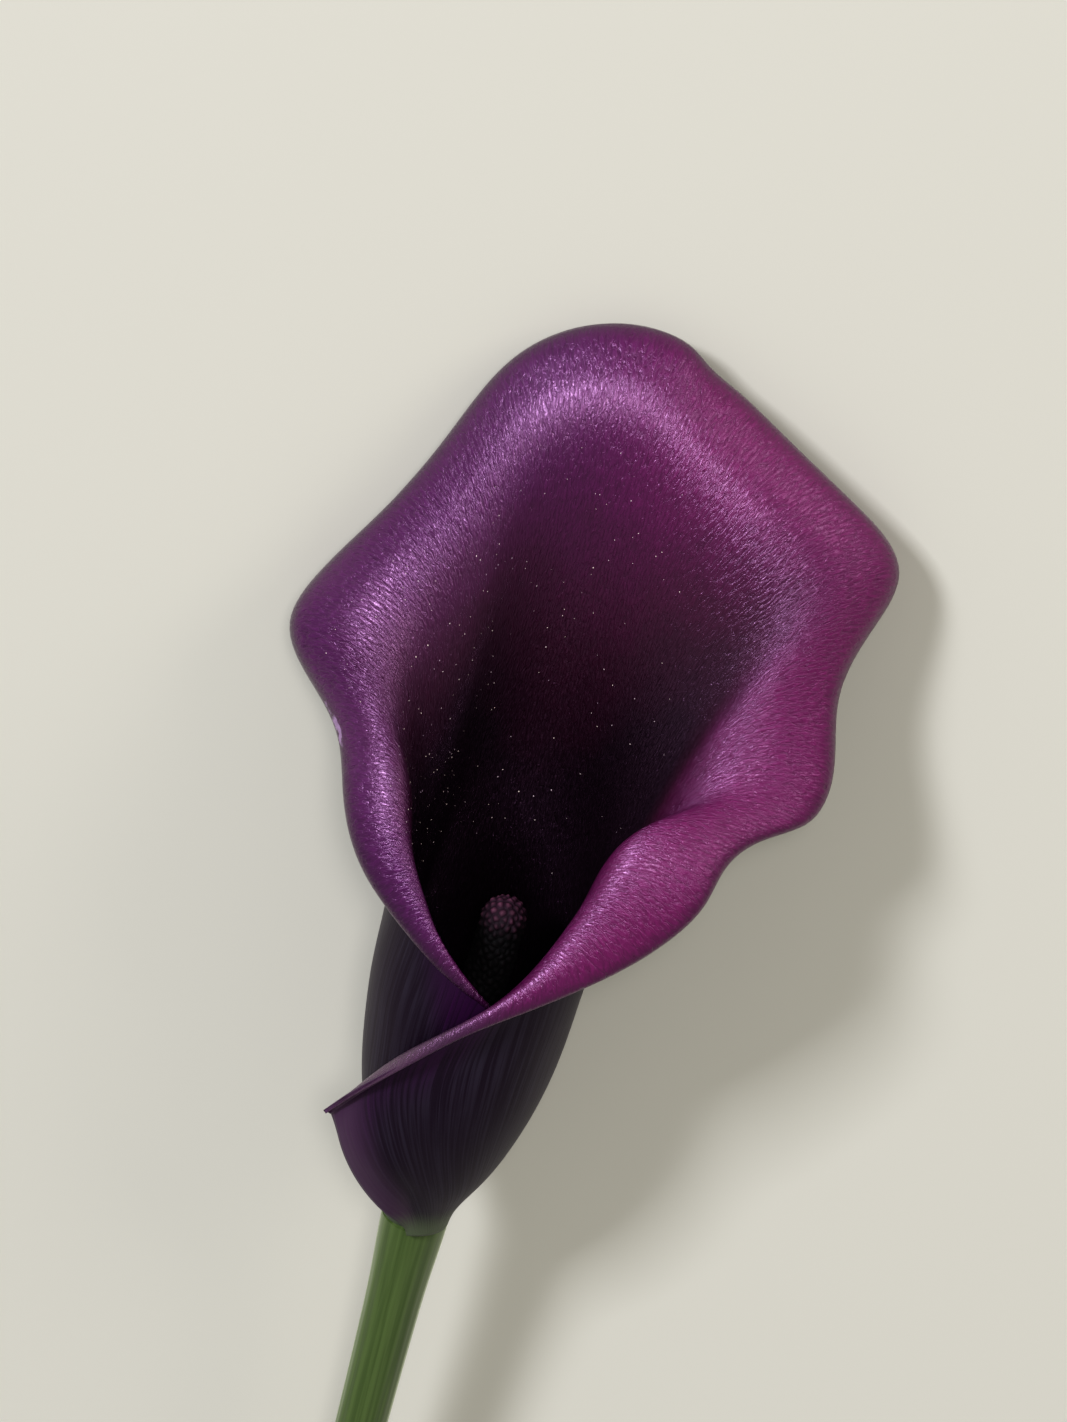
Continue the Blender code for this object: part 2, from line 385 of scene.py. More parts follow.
@dataclass(frozen=True)
class OuterEpidermis:
    """Leaf-like skin outside the trumpet: purple over green, with a thin wax bloom.

    Long fine veins show as grey-green streaks, the bloom greys the skin where it turns
    away, and the purple fades out to green just above the stalk.
    """

    skin: str = "#120814"
    vein: str = "#2a2530"
    purple: str = "#2a0a2e"
    # band: painted light, paler where the flap's margin turns up to the light from above
    lit_band: str = "#452c44"
    green: str = "#4c5640"
    bloom: str = "#c0a4c8"
    sheen: str = "#b8b6b0"
    vein_spacing: float = 0.5
    vein_length: float = 22.0
    vein_height: float = 0.05
    ragged: float = 3.0  # how far the green runs up along the veins
    green_from: float = 4.4  # the green sets in at this height
    green_to: float = -1.4
    roughness: float = 0.52
    ior: float = 1.42

    def make(self) -> Material:
        """Builds the material and returns it."""
        material, tree, shader = new_material("spathe_outer_waxy_leaf_skin")
        veins = add_streaks(tree, Coordinate.VEINS, self.vein_spacing, self.vein_length, 0.6, 0.1)
        edge, lit_band = (
            add_node(tree, "ShaderNodeAttribute", attribute_name=name).outputs["Fac"]
            for name in ("edge", "lit_band")
        )

        share = add_node(
            tree, "ShaderNodeMapRange", {"Value": veins}, {"From Min": 0.40, "From Max": 0.66},
            interpolation_type="SMOOTHSTEP",
        ).outputs["Result"]
        patchy = add_node(
            tree, "ShaderNodeMath", {0: share, 1: add_clouds(tree, 90.0, 3.0)},
            operation="MULTIPLY",
        ).outputs[0]
        colour = add_node(
            tree, "ShaderNodeMix", {0: patchy}, {6: srgb(self.skin), 7: srgb(self.vein)},
            data_type="RGBA",
        ).outputs[2]

        tinge = add_node(
            tree, "ShaderNodeMath", {0: veins, 1: edge}, operation="MULTIPLY", use_clamp=True
        ).outputs[0]
        tinge = add_node(
            tree, "ShaderNodeMapRange", {"Value": tinge}, {"From Min": 0.1, "From Max": 0.55},
            interpolation_type="SMOOTHSTEP",
        ).outputs["Result"]
        spot = add_node(tree, "ShaderNodeUVMap", uv_map=Coordinate.VEINS.value).outputs["UV"]
        height = add_node(tree, "ShaderNodeSeparateXYZ", {0: spot}).outputs["Y"]
        ragged = add_node(
            tree, "ShaderNodeMath", {0: veins, 2: height}, {1: -self.ragged},
            operation="MULTIPLY_ADD",
        ).outputs[0]
        at_base = add_node(
            tree, "ShaderNodeMapRange", {"Value": ragged},
            {"From Min": self.green_to, "From Max": self.green_from, "To Min": 1.0, "To Max": 0.0},
            interpolation_type="SMOOTHSTEP",
        ).outputs["Result"]
        # The paler band along the flap's margin is painted light.
        for amount, over in ((tinge, self.purple), (lit_band, self.lit_band), (at_base, self.green)):
            colour = add_node(
                tree, "ShaderNodeMix", {0: amount, 6: colour}, {7: srgb(over)}, data_type="RGBA"
            ).outputs[2]
        bump = add_node(
            tree, "ShaderNodeBump", {"Height": veins},
            {"Strength": 0.5, "Distance": self.vein_height * MM},
        ).outputs["Normal"]
        add_node(
            tree,
            shader,
            {"Base Color": colour, "Normal": bump},
            {
                "Roughness": self.roughness,
                "IOR": self.ior,
                "Specular Tint": srgb(self.bloom),
                "Sheen Weight": 0.06,
                "Sheen Roughness": 0.35,
                "Sheen Tint": srgb(self.sheen),
            },
        )
        return material


@dataclass(frozen=True)
class FloretSkin:
    """The spadix's packed florets: dark plum domes with paler, faintly shiny crowns.

    Painted shade darkens the creases between them.
    """

    crown: str = "#5c3446"
    flank: str = "#2c1022"
    # crease: painted shade between the florets
    crease: str = "#180814"
    grain_height: float = 0.04
    roughness: float = 0.75
    ior: float = 1.3

    def make(self) -> Material:
        """Builds the material and returns it."""
        material, tree, shader = new_material("spadix_packed_floret_skin")
        dome, shade = (
            add_node(tree, "ShaderNodeAttribute", attribute_name=name).outputs["Fac"]
            for name in ("dome", "shade")
        )
        # The ramp paints shade into the creases between florets.
        ramp = add_node(tree, "ShaderNodeValToRGB", {"Fac": dome})
        set_ramp(ramp, [(0.0, self.crease), (0.45, self.flank), (0.9, self.crown)])
        # The shade attribute darkens the spike below its tip with painted shade of the throat.
        colour = add_node(
            tree, "ShaderNodeVectorMath", {0: ramp.outputs["Color"], "Scale": shade},
            operation="SCALE",
        ).outputs[0]
        bump = add_node(
            tree, "ShaderNodeBump", {"Height": add_clouds(tree, 5000.0)},
            {"Strength": 0.4, "Distance": self.grain_height * MM},
        ).outputs["Normal"]
        add_node(
            tree,
            shader,
            {"Base Color": colour, "Normal": bump},
            {"Roughness": self.roughness, "IOR": self.ior},
        )
        return material


@dataclass(frozen=True)
class StalkSkin:
    """The stalk's green skin: smooth and slightly waxy over long soft fibres."""

    light: str = "#485a2c"
    dark: str = "#384a1e"
    sheen: str = "#cfd8b8"
    fibre_spacing: float = 0.7
    fibre_length: float = 30.0
    fibre_height: float = 0.05
    roughness: float = 0.42
    ior: float = 1.45

    def make(self) -> Material:
        """Builds the material and returns it."""
        material, tree, shader = new_material("stalk_smooth_green_skin")
        spacing, length = self.fibre_spacing, self.fibre_length
        fibres = add_streaks(tree, Coordinate.VEINS, spacing, length, 0.6, 0.0)
        share = add_node(
            tree, "ShaderNodeMapRange", {"Value": fibres}, {"From Min": 0.32, "From Max": 0.7},
            interpolation_type="SMOOTHSTEP",
        ).outputs["Result"]
        colour = add_node(
            tree, "ShaderNodeMix", {0: share}, {6: srgb(self.dark), 7: srgb(self.light)},
            data_type="RGBA",
        ).outputs[2]
        bump = add_node(
            tree, "ShaderNodeBump", {"Height": fibres},
            {"Strength": 0.4, "Distance": self.fibre_height * MM},
        ).outputs["Normal"]
        add_node(
            tree,
            shader,
            {"Base Color": colour, "Normal": bump},
            {
                "Roughness": self.roughness,
                "IOR": self.ior,
                "Sheen Weight": 0.9,
                "Sheen Roughness": 0.35,
                "Sheen Tint": srgb(self.sheen),
            },
        )
        return material


@dataclass(frozen=True)
class CutPith:
    """The stalk's cut end: pale wet pith, dotted with the ends of its fibres."""

    pith: str = "#a9b487"
    fibre: str = "#6f8048"
    pit_depth: float = 0.1
    roughness: float = 0.35

    def make(self) -> Material:
        """Builds the material and returns it."""
        material, tree, shader = new_material("stalk_knife_cut_pith")
        place = add_node(tree, "ShaderNodeTexCoord").outputs["Object"]
        dots = add_node(
            tree, "ShaderNodeTexVoronoi", {"Vector": place}, {"Scale": 1500.0}
        ).outputs["Distance"]
        ramp = add_node(tree, "ShaderNodeValToRGB", {"Fac": dots})
        set_ramp(ramp, [(0.0, self.fibre), (0.22, self.fibre), (0.34, self.pith), (1.0, self.pith)])
        bump = add_node(
            tree, "ShaderNodeBump", {"Height": dots},
            {"Strength": 0.4, "Distance": self.pit_depth * MM},
        ).outputs["Normal"]
        links = {"Base Color": ramp.outputs["Color"], "Normal": bump}
        add_node(tree, shader, links, {"Roughness": self.roughness})
        return material


@dataclass(frozen=True)
class PollenGrain:
    """Loose pollen: tiny cream grains that catch the light in the dark throat."""

    cream: str = "#e6d6c8"
    mauve: str = "#a88fa6"
    roughness: float = 0.5

    def make(self) -> Material:
        """Builds the material and returns it."""
        material, tree, shader = new_material("pollen_loose_grains")
        ramp = add_node(tree, "ShaderNodeValToRGB", {"Fac": add_clouds(tree, 400.0)})
        set_ramp(ramp, [(0.3, self.mauve), (0.6, self.cream)])
        links = {"Base Color": ramp.outputs["Color"]}
        add_node(tree, shader, links, {"Roughness": self.roughness})
        return material


@dataclass(frozen=True)
class PaleBoard:
    """The floor: a matt painted board."""

    colour: str = "#bfbdb0"
    roughness: float = 0.9
    gloss: float = 0.2

    def make(self) -> Material:
        """Builds the material and returns it."""
        material, tree, shader = new_material("floor_matt_painted_board")
        values = {
            "Base Color": srgb(self.colour),
            "Roughness": self.roughness,
            "Specular IOR Level": self.gloss,
        }
        add_node(tree, shader, None, values)
        return material


# ---- placing and meshes


class FlowerFrame:
    """The flower's own frame, laid down as the frame's stalk lies."""

    def __init__(self, stem: Object) -> None:
        """Reads where the stalk's top is.

        Args:
            stem: The frame's stem node, whose top is 0.3 mm below the flower's origin.
        """
        roll = Matrix.Rotation(math.radians(LIE_ROLL), 4, "Y")
        tilt = roll @ Matrix.Rotation(math.radians(LIE_PITCH), 4, "X")
        back = tilt.inverted()
        flat = np.array([back @ vertex.co for vertex in stem.data.vertices])
        top = flat[flat[:, 1] > flat[:, 1].max() - LEVEL * MM]
        middle = (top.min(axis=0) + top.max(axis=0)) / 2
        origin = Vector(middle) + Vector((0, Stalk.gap * MM, 0))
        self.place = tilt @ Matrix.Translation(origin)

    def lay(self, points: np.ndarray) -> np.ndarray:
        """Takes points in the flower's frame, in millimetres, to metres on the floor."""
        matrix = np.array(self.place)
        return points * MM @ matrix[:3, :3].T + matrix[:3, 3]


def pick(piece: Object) -> None:
    """Makes a piece the only one that is selected, and the active one."""
    bpy.ops.object.select_all(action="DESELECT")
    piece.select_set(True)
    bpy.context.view_layer.objects.active = piece


def name_primitive(name: str) -> Object:
    """Names the primitive that was just added, and returns it."""
    piece = bpy.context.object
    piece.name = piece.data.name = name
    return piece


def corners(piece: Object) -> np.ndarray:
    """Returns the places of a piece's vertices."""
    return np.array([vertex.co for vertex in piece.data.vertices])


def primitive_sheet(
    name: str, columns: int, rows: int
) -> tuple[Object, np.ndarray, np.ndarray]:
    """Adds a flat grid to shape.

    Args:
        name: The piece's name.
        columns: Faces along it.
        rows: Faces across it.

    Returns:
        The object, and the column and row of each vertex.
    """
    bpy.ops.object.select_all(action="DESELECT")
    bpy.ops.mesh.primitive_grid_add(x_subdivisions=columns, y_subdivisions=rows, size=2)
    piece = name_primitive(name)
    flat = corners(piece)
    column = np.rint((flat[:, 0] + 1) / 2 * columns).astype(int)
    row = np.rint((flat[:, 1] + 1) / 2 * rows).astype(int)
    return piece, column, row


def move_vertices(piece: Object, points: np.ndarray) -> None:
    """Puts a piece's vertices at these points."""
    piece.data.vertices.foreach_set("co", points.astype(np.float32).ravel())
    piece.data.update()


def add_uv(piece: Object, coordinate: Coordinate, at_vertex: list[np.ndarray]) -> None:
    """Adds a UV map from the two numbers of each vertex."""
    layer = piece.data.uv_layers.new(name=coordinate.value)
    corner = np.empty(len(piece.data.loops), int)
    piece.data.loops.foreach_get("vertex_index", corner)
    pairs = np.stack(at_vertex, axis=1)
    layer.data.foreach_set("uv", pairs[corner].astype(np.float32).ravel())


def add_attribute(piece: Object, name: str, at_vertex: np.ndarray) -> None:
    """Adds a number for each vertex."""
    layer = piece.data.attributes.new(name, "FLOAT", "POINT")
    layer.data.foreach_set("value", at_vertex.astype(np.float32))


def face_outwards() -> None:
    """Turns the faces of the active piece outwards, and leaves none of them selected."""
    bpy.ops.object.mode_set(mode="EDIT")
    bpy.ops.mesh.select_all(action="SELECT")
    bpy.ops.mesh.normals_make_consistent(inside=False)
    bpy.ops.mesh.select_all(action="DESELECT")
    bpy.ops.object.mode_set(mode="OBJECT")


def finish_piece(piece: Object, node: str | None) -> None:
    """Smooths a piece, rides it on the flower's body and hides the node it stands for.

    Args:
        piece: The finished object.
        node: The frame's node that it replaces, if any.
    """
    piece.data.shade_smooth()
    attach(piece, ROOT)
    if node:
        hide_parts(node)


# ---- the flower


@dataclass
class Spathe:
    """The rolled bract: one thin sheet, wound round the tube and turned out at the lip."""

    columns: int = 300
    rows: int = 130
    sheet: float = 0.9
    margin_share: float = 0.55  # of the sheet's thickness that is left at its edge
    thin_reach: float = 14.0  # from the edge to where it is whole again
    pace: float = 0.6  # how much a long gap between spline points counts; 1 is its length
    soften_passes: int = 26
    soft_from: tuple = (0.5, 6.5)  # how far inside the fold the rounding sets in
    soft_up: tuple = (8, 24)  # and how far up from the base
    overlap_lift: float = 1.15  # how far the outer margin stands off the tube
    overlap_from: float = 190.0  # degrees round, where it does and the inner one sinks in
    flap_lift: float = 1.2  # how much farther the outer flap's free side stands off, low down
    flap_lift_turn: tuple = (188, 212)
    flap_lift_height: tuple = (22, 14)
    base_turn: float = 0.79  # how much of each angle the base ring keeps
    base_shift: float = -6.0
    twist_height: float = 26.0  # over which the base's angles ease into the tube's
    # Where the tube's own section is kept, in shares of its height.
    wall_stops: tuple = (0.0, 0.05, 0.12, 0.22, 0.35, 0.54, 0.76, 1.0)
    uv_turn: float = 0.24  # millimetres round the tube for each degree
    # Where each change of colour starts and ends, in degrees or in millimetres from the margin.
    flap_turn: tuple = (176, 200)  # the outer flap begins
    pale_turn: tuple = (166, 196)  # its inner face pales
    pale: tuple = (16, 5)
    fold_shade: tuple = (2.8, -0.2)  # painted shade: a dark line follows the fold, from its inner side, where the lip turns away
    fold_shade_turn: tuple = (40, -20)  # and is stronger on the left
    flap_line: tuple = (1.8, 0.2)  # a faint one follows the flap's margin
    dry_angle: float = -88.0  # the fold has dried a little here
    dry_turn: tuple = (9, 2)  # to either side
    dry_place: float = 0.6
    dry: tuple = (1.6, 0.4)
    purple: tuple = (26, 2)  # the back of the lip turns purple
    lit_band: tuple = (4.6, 2.2)  # a paler band lies along the flap's margin: painted light, where the margin turns up to the light from above
    lit_band_turn: tuple = (216, 240)  # and widens over its corner
    mouth_centre: tuple = (1.0, 68.0, -1.4)
    mouth_half: tuple = (26.0, 30.0, 1.0)
    mouth_normal: tuple = (0.0, 0.42, 0.91)
    # The rolled tube's outside: height, half width, half depth.
    tube: tuple = (
        (0, 4.2, 4.2),
        (3, 4.8, 4.8),
        (7, 6.7, 6.6),
        (13, 9.1, 9.1),
        (20, 11.1, 11.1),
        (28, 12.3, 12.2),
        (40, 13.1, 13.0),
        (60, 15.2, 14.4),
        (80, 18.7, 16.3),
        (100, 22.2, 18.8),
        (118, 25.2, 21.2),
    )
    # The lip, from the margin tucked inside the overlap, over the tip, to the corner of the
    # outer flap. Angle of the tube below it (0 is the back), the lip's outermost point x, y, z,
    # then how far inside that point the lip's crest is, how far it rises, how far the margin
    # curls back behind it, the share of the crest's height that the tube keeps its own section,
    # and how far in the lip's colour reaches.
    rim: tuple = (
        (-205, 6.0, 34.5, 10.2, 0.4, 0.1, 0.4, 0.80, 8),
        (-187, 3.2, 38.2, 11.6, 0.6, 0.1, 0.5, 0.80, 9),
        (-172, -0.6, 40.6, 12.3, 1.5, 0.4, 1.2, 0.78, 10),
        (-157, -5.2, 43.2, 11.9, 3.0, 1.1, 2.2, 0.76, 12),
        (-138, -10.9, 47.0, 10.2, 4.8, 2.0, 3.8, 0.74, 13),
        (-118, -16.7, 51.7, 7.5, 6.2, 3.0, 5.0, 0.70, 15),
        (-104, -20.4, 57.0, 3.5, 6.8, 4.2, 6.0, 0.64, 13),
        (-92, -22.6, 61.4, -1.5, 7.4, 5.0, 7.0, 0.58, 14),
        (-82, -26.8, 64.2, -7.5, 8.5, 6.4, 8.0, 0.52, 17),
        (-74, -32.2, 70.2, -12.0, 12, 8.0, 9.0, 0.48, 20),  # left ear
        (-66, -30.3, 76.2, -15.0, 10.5, 7.6, 8.0, 0.48, 21),
        (-56, -25.0, 85.2, -16.5, 9.0, 6.4, 6.5, 0.49, 20),
        (-44, -19.2, 97.2, -18.5, 8.5, 5.8, 5.0, 0.51, 22),
        (-30, -13.9, 108.0, -20.5, 8.5, 5.2, 4.5, 0.54, 28),
        (-14, -6.4, 113.9, -21.5, 8.5, 4.8, 4.0, 0.56, 34),  # tip
        (4, 2.5, 115.5, -21.5, 8.5, 4.6, 3.5, 0.56, 36),
        (13, 6.2, 114.6, -21.0, 8.5, 4.6, 3.6, 0.56, 35),
        (18, 8.3, 113.2, -20.6, 8.4, 4.6, 3.6, 0.55, 34),
        (26, 12.2, 111.2, -20.1, 8.4, 4.8, 4.1, 0.54, 32),
        (36, 17.6, 108.2, -19.5, 8.4, 5.0, 4.5, 0.53, 28),
        (50, 28.8, 101.6, -18.5, 8.8, 5.6, 5.5, 0.51, 23),
        (62, 36.6, 93.8, -18.0, 9.5, 6.6, 7.0, 0.50, 21),  # right ear
        (72, 34.8, 86.8, -14.0, 8.5, 5.6, 7.0, 0.52, 25),
        (82, 33.3, 79.8, -10.0, 8.8, 4.6, 6.0, 0.55, 29),
        (94, 35.0, 70.2, -5.5, 10.5, 3.8, 5.5, 0.59, 32),  # lower right ear
        (101, 34.0, 67.3, -3.0, 11.0, 3.2, 5.0, 0.615, 33),
        (107, 30.3, 65.7, 0.3, 11.5, 2.6, 4.5, 0.64, 34),
        (113, 27.0, 64.4, 3.0, 11.5, 2.3, 4.0, 0.665, 34),
        (120, 25.0, 62.4, 5.8, 11.5, 2.0, 3.6, 0.69, 33),  # notch below it
        (127, 24.0, 59.1, 8.3, 10.8, 1.9, 3.2, 0.71, 31),
        (136, 21.3, 54.6, 10.4, 9.5, 1.7, 2.8, 0.73, 28),
        (152, 13.8, 47.2, 13.0, 6.2, 1.4, 2.0, 0.75, 20),
        (168, 6.5, 42.0, 15.2, 3.4, 1.0, 1.5, 0.78, 10),  # the right margin crosses the left one
        (184, 0.5, 37.4, 16.2, 2.2, 0.5, 0.9, 0.80, 8),
        (206, -5.5, 30.4, 15.2, 3.2, 0.6, 0.8, 0.84, 6),
        (226, -10.2, 22.9, 11.6, 3.0, 0.5, 0.7, 0.88, 5),
        (246, -13.6, 15.7, 7.2, 0.4, 0.0, 0.2, 0.90, 5),  # corner of the outer flap
    )
    inner: InnerEpidermis = field(default_factory=InnerEpidermis)
    outer: OuterEpidermis = field(default_factory=OuterEpidermis)

    def wall(self, angle: np.ndarray, height: np.ndarray) -> np.ndarray:
        """Finds points on the tube's inner face.

        Args:
            angle: Degrees round the tube, which may pass 180 where the sheet overlaps itself.
            height: Distance up the tube.

        Returns:
            A point for each pair.
        """
        tube = np.array(self.tube, float)
        overlap = np.clip(angle / self.overlap_from, -1.04, None)
        free = ease(angle, *self.flap_lift_turn) * ease(height, *self.flap_lift_height)
        flap = self.flap_lift * free
        lift = self.overlap_lift * overlap**5 + flap - self.sheet
        half_width = spline(tube[:, 0], tube[:, 1], height) + lift
        half_depth = spline(tube[:, 0], tube[:, 2], height) + lift
        turn = np.radians(angle)
        return np.stack([half_width * np.sin(turn), height, -half_depth * np.cos(turn)], axis=-1)

    def column(
        self, angle: float, fold: np.ndarray, lip: float, rise: float, roll: float, keep: float
    ) -> np.ndarray:
        """Finds the inner face's spline points from base to margin.

        Args:
            angle: Degrees round the tube.
            fold: The lip's outermost point.
            lip: How far inside the fold the crest is.
            rise: How far the crest stands above it.
            roll: How far the margin curls back behind it.
            keep: The share of the crest's height that the tube keeps its own section.

        Returns:
            The points, base first.
        """
        normal = unit(np.array(self.mouth_normal))
        spoke = (fold - self.mouth_centre) / np.array(self.mouth_half) ** 2 * (1, 1, 0)
        outward = unit(spoke - normal * normal.dot(spoke))
        crest = fold - outward * lip + normal * rise
        margin = fold - unit(normal * 0.95 + outward * 0.3) * roll
        height = np.array(self.wall_stops) * crest[1] * keep
        base_angle = angle * self.base_turn + self.base_shift
        settled = np.sin(np.clip(height / min(self.twist_height, crest[1]), 0, 1) * math.pi / 2)
        points = self.wall(base_angle + (angle - base_angle) * settled, height)
        return np.concatenate([points, [crest, fold, margin]])

    def surface(self) -> tuple[np.ndarray, np.ndarray, np.ndarray, np.ndarray]:
        """Finds the whole inner face.

        Returns:
            Its points[column, row], how far up the sheet from the base each one is, then for
            each column the tube's angle, the margin's curl and the reach of the lip's colour,
            and how far along the rim it is.
        """
        rim = np.array(self.rim, float)
        along = distances(rim[:, 1:4])
        reach = np.linspace(0, along[-1], self.columns + 1)
        stations = spline(along, rim, reach)
        points, runs = [], []
        for angle, x, y, z, lip, rise, roll, keep, _ in stations:
            keys = self.column(angle, np.array([x, y, z]), lip, rise, roll, keep)
            pace = np.concatenate([[0], np.cumsum(np.diff(distances(keys)) ** self.pace)])
            fine = spline(pace, keys, np.linspace(0, pace[-1], 4 * self.rows))
            run = distances(fine)
            stops = np.linspace(0, run[-1], self.rows + 1)
            points.append(np.stack([np.interp(stops, run, axis) for axis in fine.T], axis=1))
            runs.append(stops)
        points, runs = np.array(points), np.array(runs)
        inside = runs[:, -1:] - runs - stations[:, 6:7]
        share = (ease(inside, *self.soft_from) * ease(runs, *self.soft_up))[:, :, None]
        points = points * (1 - share) + soften(points, self.soften_passes) * share
        return points, runs, stations[:, [0, 6, 8]], reach

    def marks(
        self, angle: np.ndarray, to_margin: np.ndarray, roll: np.ndarray, blush: np.ndarray
    ) -> dict[str, np.ndarray]:
        """Finds where the skins change colour.

        Args:
            angle: Degrees round the tube of each vertex.
            to_margin: How far it is from the margin.
            roll: How far the margin curls back there.
            blush: How far in the lip's colour reaches there.

        Returns:
            A share from 0 to 1 for each vertex, by the name of the attribute that holds it.
        """
        inside = to_margin - roll
        on_flap = ease(angle, *self.flap_turn)
        # Painted shade along the fold, where the lip turns away.
        line = ease(inside, *self.fold_shade) * (0.55 + 0.35 * ease(angle, *self.fold_shade_turn))
        flap_line = 0.25 * on_flap * ease(to_margin, *self.flap_line)
        dry = ease(np.abs(angle - self.dry_angle), *self.dry_turn)
        lit_band = on_flap * ease(to_margin, *self.lit_band)
        return {
            "depth": np.clip(inside / blush / 2, 0, 1),
            "flap": ease(angle, *self.pale_turn) * ease(to_margin, *self.pale),
            "rim": np.maximum(line * (1 - on_flap), flap_line),
            "wear": dry * ease(np.abs(inside - self.dry_place), *self.dry),
            "edge": ease(to_margin, *self.purple),
            "lit_band": np.maximum(lit_band, 0.65 * ease(angle, *self.lit_band_turn)),
        }

    def build(self, frame: FlowerFrame) -> Object:
        """Builds the spathe.

        Args:
            frame: Where the flower lies.

        Returns:
            The object.
        """
        points, run, stations, reach = self.surface()
        piece, column, row = primitive_sheet("spathe_bract", self.columns, self.rows)
        move_vertices(piece, frame.lay(points[column, row]))
        angle, roll, blush = stations[column].T
        run_here = run[column, row]
        to_margin = run[column, -1] - run_here
        add_uv(piece, Coordinate.CELLS, [reach[column], to_margin])
        add_uv(piece, Coordinate.VEINS, [angle * self.uv_turn, run_here])
        for name, share in self.marks(angle, to_margin, roll, blush).items():
            add_attribute(piece, name, share)
        thick = piece.vertex_groups.new(name="thick")
        taper = self.margin_share + (1 - self.margin_share) * ease(to_margin, 0, self.thin_reach)
        for index, weight in enumerate(taper):
            thick.add([index], float(weight), "REPLACE")
        piece.data.materials.append(self.inner.make())
        piece.data.materials.append(self.outer.make())
        pick(piece)
        solidify = piece.modifiers.new("solidify", "SOLIDIFY")
        solidify.thickness = self.sheet * MM
        solidify.offset = -1
        solidify.vertex_group = thick.name
        solidify.material_offset = solidify.material_offset_rim = 1
        bpy.ops.object.modifier_apply(modifier=solidify.name)
        finish_piece(piece, "spathe")
        return piece


